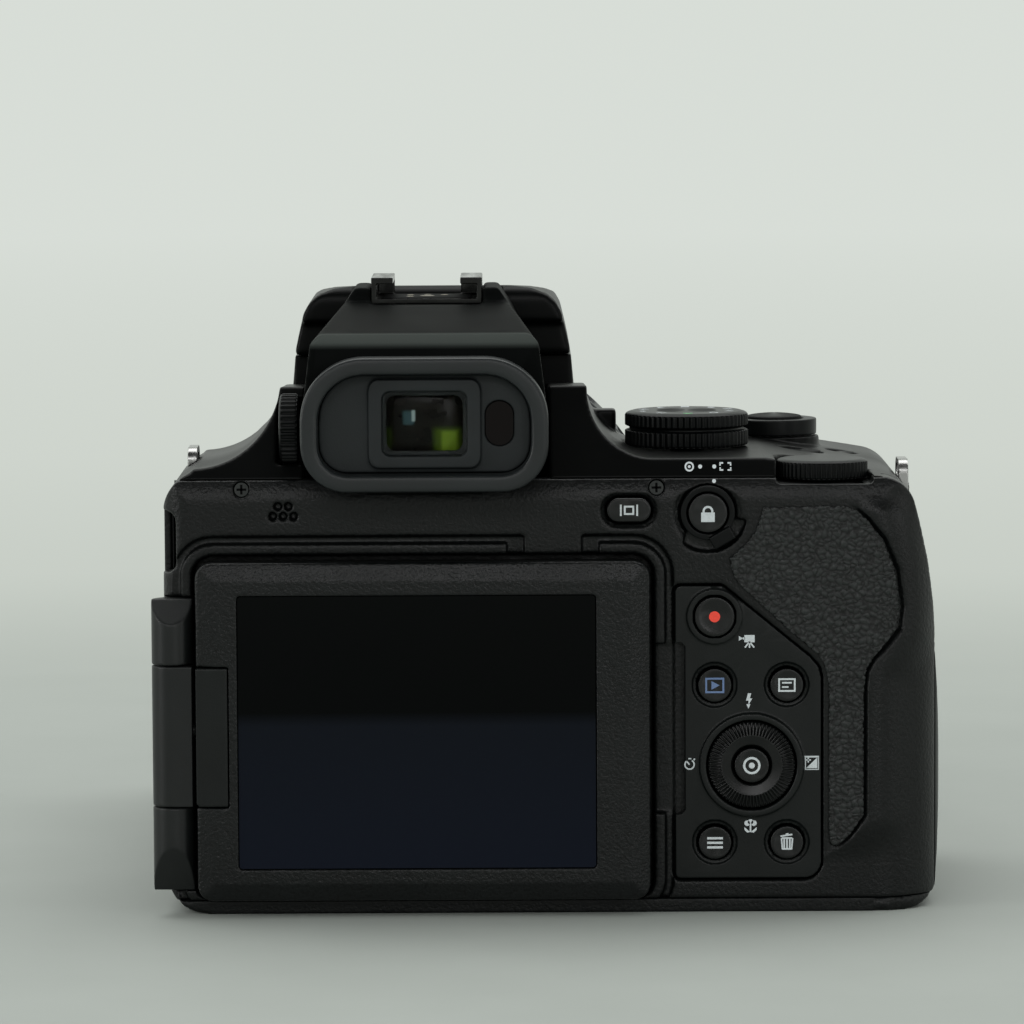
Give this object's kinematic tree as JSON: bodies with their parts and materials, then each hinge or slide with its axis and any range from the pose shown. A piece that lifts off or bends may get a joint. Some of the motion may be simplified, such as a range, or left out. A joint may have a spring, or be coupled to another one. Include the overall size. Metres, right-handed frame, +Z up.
{
  "type": "bridge camera",
  "caption": "Bridge camera with a long fixed zoom lens, a side-hinged swing-out screen, an electronic finder, a pop-up flash, dials, levers and sprung buttons.",
  "frame": {"origin": "the mouth of the tripod socket on the base, under the lens axis", "axes": "+X is to the right seen from behind, +Y is the way the lens looks, +Z is up"},
  "size_m": [0.146, 0.181, 0.1166],
  "materials": {
    "shell": "satin",
    "skin": "matte",
    "dial": "satin",
    "button": "satin",
    "metal": "satin",
    "plate": "satin",
    "brass": "satin",
    "board": "satin",
    "cell": "satin",
    "lens_glass": "gloss",
    "screen_glass": "gloss",
    "window": "gloss",
    "eye_glass": "gloss",
    "sensor_window": "gloss"
  },
  "bodies": {
    "body": {"rear_cover": "shell", "top_cover": "shell", "front_cover": "shell", "base_plate": "shell", "chassis": "plate", "main_board": "board", "image_sensor": "board", "battery_box": "shell", "battery": "cell", "tripod_bush": "brass", "grip_skin": "skin", "thumb_pad": "skin", "control_panel": "shell", "strap_lugs": "metal", "case_screws": "metal", "port_block": "shell", "finder_housing": "shell", "eyecup": "skin", "eyepiece_frame": "shell", "eyepiece_window": "eye_glass", "eye_sensor_window": "sensor_window", "accessory_shoe": "metal", "hinge_bracket": "shell", "hinge_pins": "metal", "lens_barrel": "shell", "rear_lens_group": "lens_glass", "zoom_motor": "metal"},
    "screen_unit": {"hinge_arm": "shell", "swivel_bracket": "shell", "screen_bezel": "shell", "screen_back": "shell", "screen_glass": "screen_glass"},
    "flash_unit": {"flash_housing": "shell", "flash_window": "window"},
    "control_ring": {"control_ring": "skin"},
    "cam_barrel": {"cam_barrel": "cell"},
    "zoom_outer": {"zoom_barrel_outer": "shell", "variator_group": "lens_glass"},
    "zoom_inner": {"zoom_barrel_inner": "shell", "front_lens_group": "lens_glass", "lens_baffle": "shell"},
    "terminal_door": {"terminal_door": "shell"},
    "battery_door": {"battery_door": "shell"},
    "mode_dial": {"mode_dial": "dial"},
    "command_dial": {"command_dial": "dial"},
    "selector_dial": {"selector_dial": "dial"},
    "diopter_dial": {"diopter_dial": "dial"},
    "zoom_lever": {"zoom_lever": "dial"},
    "focus_lever": {"focus_lever": "dial"},
    "shutter_button": {"shutter_button": "button"},
    "power_button": {"power_button": "button"},
    "function_button": {"function_button": "button"},
    "display_button": {"display_button": "button"},
    "lock_button": {"lock_button": "button"},
    "record_button": {"record_button": "button"},
    "playback_button": {"playback_button": "button"},
    "info_button": {"info_button": "button"},
    "ok_button": {"ok_button": "button"},
    "menu_button": {"menu_button": "button"},
    "delete_button": {"delete_button": "button"}
  },
  "joints": [
    {"name": "screen_swing", "type": "hinge", "parent": "body", "child": "screen_unit", "pos_m": [-0.0477, -0.027, 0.0345], "axis": [0, 0, -1], "range_deg": [0, 175]},
    {"name": "flash_raise", "type": "hinge", "parent": "body", "child": "flash_unit", "pos_m": [0, 0.0197, 0.111], "axis": [1, 0, 0], "range_deg": [0, 40]},
    {"name": "control_ring_turn", "type": "hinge", "parent": "body", "child": "control_ring", "pos_m": [0, 0.114, 0.05], "axis": [0, 1, 0], "continuous": true},
    {"name": "zoom_extend", "type": "slide", "parent": "body", "child": "zoom_outer", "axis": [0, 1, 0], "range_m": [0, 0.052]},
    {"name": "zoom_extend_inner", "type": "slide", "parent": "zoom_outer", "child": "zoom_inner", "axis": [0, 1, 0], "range_m": [0, 0.052]},
    {"name": "cam_turn", "type": "hinge", "parent": "body", "child": "cam_barrel", "pos_m": [0, 0.048, 0.05], "axis": [0, 1, 0], "range_deg": [0, 121]},
    {"name": "terminal_door_open", "type": "hinge", "parent": "body", "child": "terminal_door", "pos_m": [-0.04875, 0.011, 0.0525], "axis": [0, 0, -1], "range_deg": [0, 100]},
    {"name": "battery_door_open", "type": "hinge", "parent": "body", "child": "battery_door", "pos_m": [0.074, 0.026, 0.0011], "axis": [1, 0, 0], "range_deg": [0, 90]},
    {"name": "mode_dial_turn", "type": "hinge", "parent": "body", "child": "mode_dial", "pos_m": [0.0481, 0.005, 0.087], "axis": [0, 0, 1], "continuous": true},
    {"name": "command_dial_turn", "type": "hinge", "parent": "body", "child": "command_dial", "pos_m": [0.0726, -0.014, 0.081], "axis": [0, 0, 1], "continuous": true},
    {"name": "selector_dial_turn", "type": "hinge", "parent": "body", "child": "selector_dial", "pos_m": [0.059, -0.026, 0.0274], "axis": [0, 1, 0], "continuous": true},
    {"name": "diopter_turn", "type": "hinge", "parent": "body", "child": "diopter_dial", "pos_m": [-0.026, -0.02, 0.0897], "axis": [1, 0, 0], "range_deg": [-120, 120]},
    {"name": "zoom_lever_turn", "type": "hinge", "parent": "body", "child": "zoom_lever", "pos_m": [0.066, 0.032, 0.0858], "axis": [0, 0, 1], "range_deg": [-20, 20], "stiffness_Nm_per_rad": 0.03},
    {"name": "focus_lever_turn", "type": "hinge", "parent": "body", "child": "focus_lever", "pos_m": [0.051, -0.026, 0.0742], "axis": [0, 1, 0], "range_deg": [0, 40]},
    {"name": "display_press", "type": "slide", "parent": "body", "child": "display_button", "axis": [0, 1, 0], "range_m": [0, 0.0006], "stiffness_N_per_m": 900},
    {"name": "lock_press", "type": "slide", "parent": "body", "child": "lock_button", "axis": [0, 1, 0], "range_m": [0, 0.0006], "stiffness_N_per_m": 900},
    {"name": "record_press", "type": "slide", "parent": "body", "child": "record_button", "axis": [0, 1, 0], "range_m": [0, 0.0006], "stiffness_N_per_m": 900},
    {"name": "playback_press", "type": "slide", "parent": "body", "child": "playback_button", "axis": [0, 1, 0], "range_m": [0, 0.0006], "stiffness_N_per_m": 900},
    {"name": "info_press", "type": "slide", "parent": "body", "child": "info_button", "axis": [0, 1, 0], "range_m": [0, 0.0006], "stiffness_N_per_m": 900},
    {"name": "ok_press", "type": "slide", "parent": "body", "child": "ok_button", "axis": [0, 1, 0], "range_m": [0, 0.0006], "stiffness_N_per_m": 900},
    {"name": "menu_press", "type": "slide", "parent": "body", "child": "menu_button", "axis": [0, 1, 0], "range_m": [0, 0.0006], "stiffness_N_per_m": 900},
    {"name": "delete_press", "type": "slide", "parent": "body", "child": "delete_button", "axis": [0, 1, 0], "range_m": [0, 0.0006], "stiffness_N_per_m": 900},
    {"name": "shutter_press", "type": "slide", "parent": "body", "child": "shutter_button", "axis": [0, 0, -1], "range_m": [0, 0.001], "stiffness_N_per_m": 900},
    {"name": "power_press", "type": "slide", "parent": "body", "child": "power_button", "axis": [0, 0, -1], "range_m": [0, 0.0006], "stiffness_N_per_m": 900},
    {"name": "function_press", "type": "slide", "parent": "body", "child": "function_button", "axis": [0, 0, -1], "range_m": [0, 0.0006], "stiffness_N_per_m": 900}
  ],
  "couplings": [
    {"joint": "zoom_extend_inner", "follows": "zoom_extend", "ratio": 1},
    {"joint": "cam_turn", "follows": "zoom_extend", "rad_per_m": 40.277}
  ]
}
